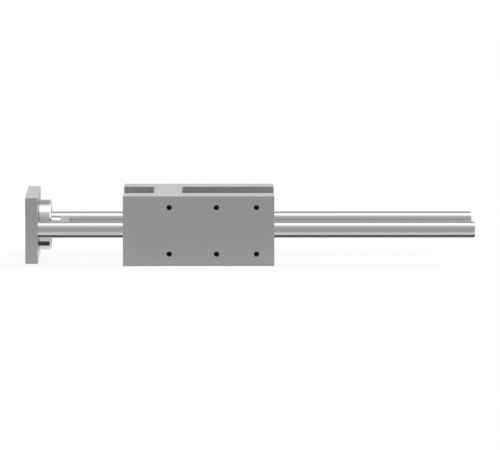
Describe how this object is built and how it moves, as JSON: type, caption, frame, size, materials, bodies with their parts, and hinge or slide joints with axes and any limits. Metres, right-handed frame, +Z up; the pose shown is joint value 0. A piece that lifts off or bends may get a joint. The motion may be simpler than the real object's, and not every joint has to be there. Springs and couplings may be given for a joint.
{
  "type": "linear guide unit",
  "caption": "H-shaped aluminium housing that guides round steel rods in plain bearings, with a yoke plate across the rod ends and a self-aligning coupling for a cylinder's piston rod.",
  "frame": {"origin": "on the underside of the housing, below the middle of its bridge", "axes": "+X along the guide rods to their free ends, +Y across to the far leg, +Z up; the yoke plate is at -X"},
  "size_m": [0.5435, 0.152, 0.085],
  "materials": {
    "anodised_aluminium": "clear anodised, fine satin",
    "ground_rod": "hard chromed and ground",
    "bright_steel": "fine turned, bright",
    "screw_steel": "zinc plated",
    "case_steel": "drawn sheet",
    "bearing_bronze": "sintered, oiled",
    "wiper_rubber": "moulded nitrile rubber"
  },
  "bodies": {
    "housing": {"housing": "anodised_aluminium", "bush_front_near": "bearing_bronze", "wiper_case_front_near": "case_steel", "wiper_lip_front_near": "wiper_rubber", "bush_rear_near": "bearing_bronze", "wiper_case_rear_near": "case_steel", "wiper_lip_rear_near": "wiper_rubber", "bush_front_far": "bearing_bronze", "wiper_case_front_far": "case_steel", "wiper_lip_front_far": "wiper_rubber", "bush_rear_far": "bearing_bronze", "wiper_case_rear_far": "case_steel", "wiper_lip_rear_far": "wiper_rubber"},
    "carriage": {"yoke_plate": "anodised_aluminium", "guide_rod_near": "ground_rod", "guide_rod_far": "ground_rod", "rod_screw_near": "screw_steel", "rod_screw_far": "screw_steel", "coupling_flange": "bright_steel", "flange_screws": "screw_steel"},
    "coupling": {"coupling_stud": "bright_steel"}
  },
  "joints": [
    {"name": "carriage_slide", "type": "slide", "parent": "housing", "child": "carriage", "axis": [-1, 0, 0], "range_m": [-0.09, 0.23]},
    {"name": "coupling_turn", "type": "hinge", "parent": "carriage", "child": "coupling", "pos_m": [-0.13, 0, 0.0425], "axis": [1, 0, 0], "continuous": true}
  ]
}
